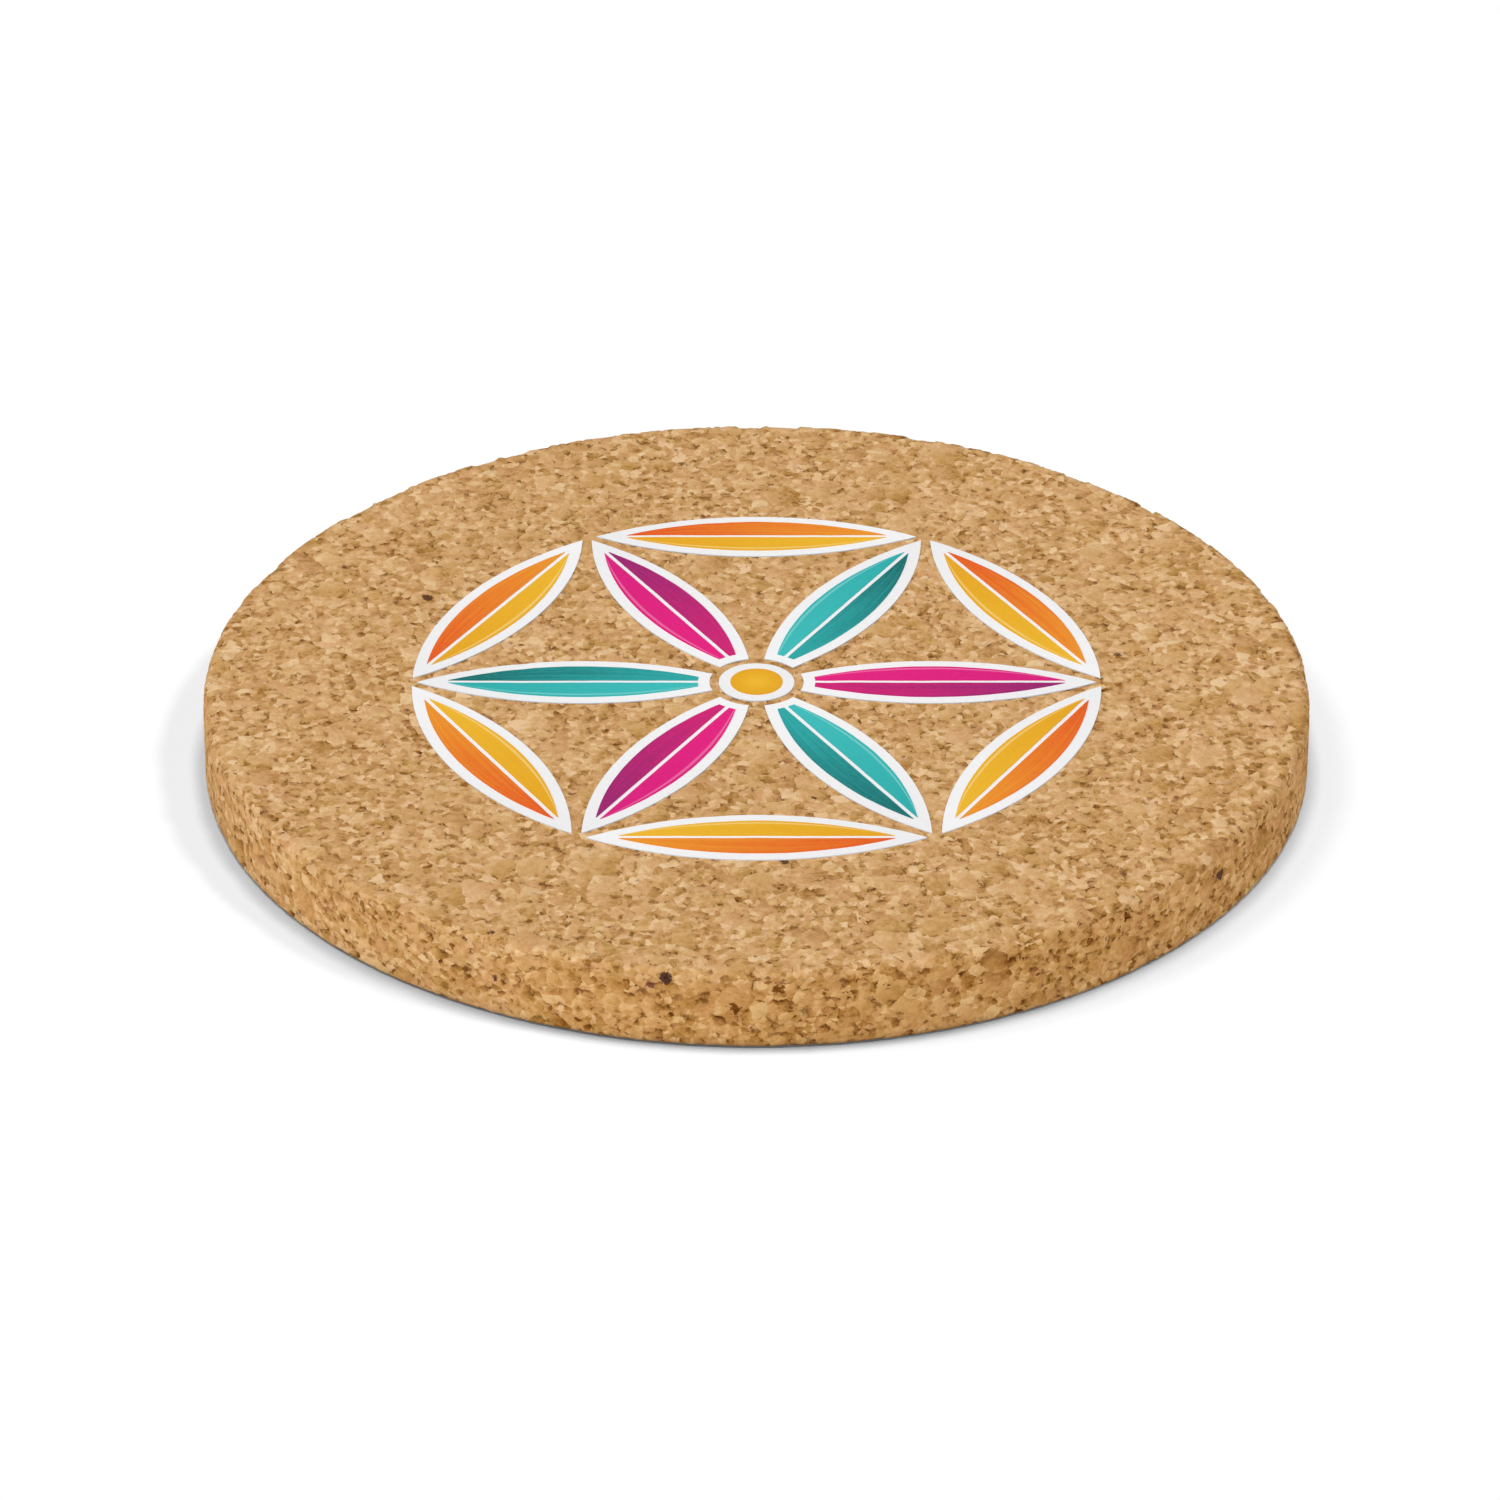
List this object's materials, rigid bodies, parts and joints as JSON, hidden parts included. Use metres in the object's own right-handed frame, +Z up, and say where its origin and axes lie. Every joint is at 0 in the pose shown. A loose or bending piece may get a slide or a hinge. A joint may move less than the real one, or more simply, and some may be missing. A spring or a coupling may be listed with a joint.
{
  "type": "drink coaster",
  "caption": "Round slab of granular cork with softened edges and a printed rosette of petals on top; stands flat on a table and carries a cup or glass.",
  "frame": {"origin": "centre of the underside, on the table", "axes": "+Z up through the slab to the drink; +X along the axis of an inner petal, in the plane of the slab"},
  "size_m": [0.095, 0.095, 0.0071],
  "materials": {
    "cork": "agglomerated cork, pressed granules, sanded and unsealed",
    "white_ink": "cured printing ink, satin",
    "teal_ink": "cured printing ink, satin",
    "deep_teal_ink": "cured printing ink, satin",
    "magenta_ink": "cured printing ink, satin",
    "deep_magenta_ink": "cured printing ink, satin",
    "amber_ink": "cured printing ink, satin",
    "orange_ink": "cured printing ink, satin"
  },
  "bodies": {
    "root": {"cork_slab": "cork", "centre_white": "white_ink", "centre_dot": "amber_ink", "inner_petal_1_white": "white_ink", "inner_petal_1_light": "teal_ink", "inner_petal_1_shade": "deep_teal_ink", "inner_petal_2_white": "white_ink", "inner_petal_2_light": "magenta_ink", "inner_petal_2_shade": "deep_magenta_ink", "inner_petal_3_white": "white_ink", "inner_petal_3_light": "teal_ink", "inner_petal_3_shade": "deep_teal_ink", "inner_petal_4_white": "white_ink", "inner_petal_4_light": "magenta_ink", "inner_petal_4_shade": "deep_magenta_ink", "inner_petal_5_white": "white_ink", "inner_petal_5_light": "teal_ink", "inner_petal_5_shade": "deep_teal_ink", "inner_petal_6_white": "white_ink", "inner_petal_6_light": "magenta_ink", "inner_petal_6_shade": "deep_magenta_ink", "outer_petal_1_white": "white_ink", "outer_petal_1_light": "amber_ink", "outer_petal_1_shade": "orange_ink", "outer_petal_2_white": "white_ink", "outer_petal_2_light": "amber_ink", "outer_petal_2_shade": "orange_ink", "outer_petal_3_white": "white_ink", "outer_petal_3_light": "amber_ink", "outer_petal_3_shade": "orange_ink", "outer_petal_4_white": "white_ink", "outer_petal_4_light": "amber_ink", "outer_petal_4_shade": "orange_ink", "outer_petal_5_white": "white_ink", "outer_petal_5_light": "amber_ink", "outer_petal_5_shade": "orange_ink", "outer_petal_6_white": "white_ink", "outer_petal_6_light": "amber_ink", "outer_petal_6_shade": "orange_ink"}
  },
  "joints": []
}
